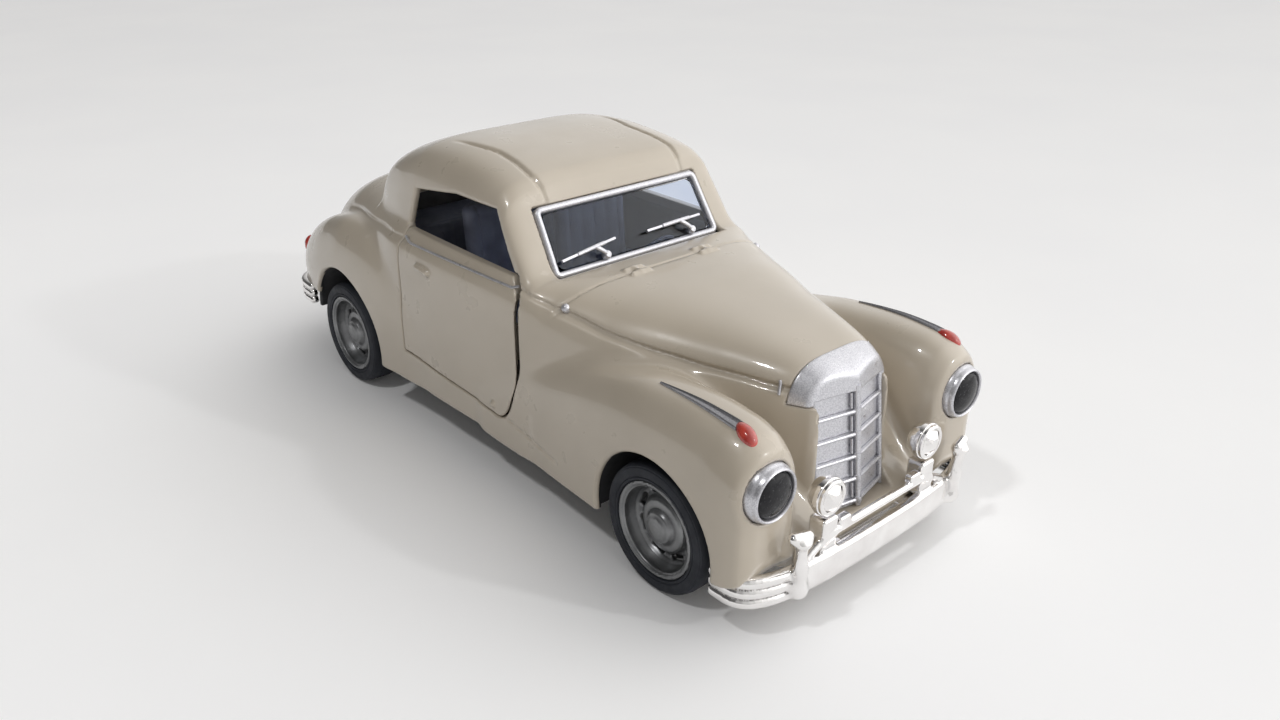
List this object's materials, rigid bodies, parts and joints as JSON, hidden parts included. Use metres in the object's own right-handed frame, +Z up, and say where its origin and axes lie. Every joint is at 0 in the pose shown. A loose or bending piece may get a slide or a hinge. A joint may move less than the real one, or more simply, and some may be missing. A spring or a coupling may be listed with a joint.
{
  "type": "diecast collector car",
  "caption": "Diecast two-door coupe model car with opening doors, rolling wheels, plated bumpers and grille, and a fitted interior.",
  "frame": {"origin": "on the ground, in the middle of the car's box", "axes": "+X to the car's left side, +Y from nose to tail, +Z up"},
  "size_m": [0.05, 0.1265, 0.0474],
  "materials": {
    "cream_paint": "gloss",
    "chassis_plastic": "matte",
    "interior_plastic": "satin",
    "steel": "satin",
    "plated": "mirror",
    "silver_paint": "satin silver",
    "wheel_silver": "satin silver-grey",
    "glazing": "clear, slightly blue",
    "lens": "smoked clear",
    "red": "gloss",
    "tyre": "smooth"
  },
  "bodies": {
    "car": {"body_shell": "cream_paint", "chassis_plate": "chassis_plastic", "base_screws": "steel", "interior_tub": "interior_plastic", "dashboard": "interior_plastic", "steering_wheel": "interior_plastic", "front_seat_left": "interior_plastic", "front_seat_right": "interior_plastic", "rear_seat": "interior_plastic", "windscreen_frame": "silver_paint", "windscreen": "glazing", "wiper_left": "silver_paint", "wiper_right": "silver_paint", "rear_window": "glazing", "grille_shell": "silver_paint", "grille_bars": "silver_paint", "headlight_bezel_left": "silver_paint", "headlight_bezel_right": "silver_paint", "headlight_lens_left": "lens", "headlight_lens_right": "lens", "indicator_left": "red", "indicator_right": "red", "front_bumper": "plated", "rear_bumper": "plated", "tail_lamp_left": "red", "tail_lamp_right": "red", "hinge_bracket_left": "chassis_plastic", "hinge_bracket_right": "chassis_plastic", "hinge_pin_left": "steel", "hinge_pin_right": "steel"},
    "door_left": {"door_panel_left": "cream_paint", "door_arm_left": "cream_paint"},
    "door_right": {"door_panel_right": "cream_paint", "door_arm_right": "cream_paint"},
    "front_wheels": {"front_axle": "steel", "front_rim_left": "wheel_silver", "front_rim_right": "wheel_silver", "front_tyre_left": "tyre", "front_tyre_right": "tyre"},
    "rear_wheels": {"rear_axle": "steel", "rear_rim_left": "wheel_silver", "rear_rim_right": "wheel_silver", "rear_tyre_left": "tyre", "rear_tyre_right": "tyre"}
  },
  "joints": [
    {"name": "door_left_hinge", "type": "hinge", "parent": "car", "child": "door_left", "pos_m": [0.0198, -0.0159, 0.0233], "axis": [0, 0, -1], "range_deg": [0, 55]},
    {"name": "door_right_hinge", "type": "hinge", "parent": "car", "child": "door_right", "pos_m": [-0.0198, -0.0159, 0.0233], "axis": [0, 0, 1], "range_deg": [0, 55]},
    {"name": "front_wheels_spin", "type": "hinge", "parent": "car", "child": "front_wheels", "pos_m": [0, -0.04405, 0.0091], "axis": [1, 0, 0], "continuous": true},
    {"name": "rear_wheels_spin", "type": "hinge", "parent": "car", "child": "rear_wheels", "pos_m": [0, 0.03655, 0.0091], "axis": [1, 0, 0], "continuous": true}
  ]
}
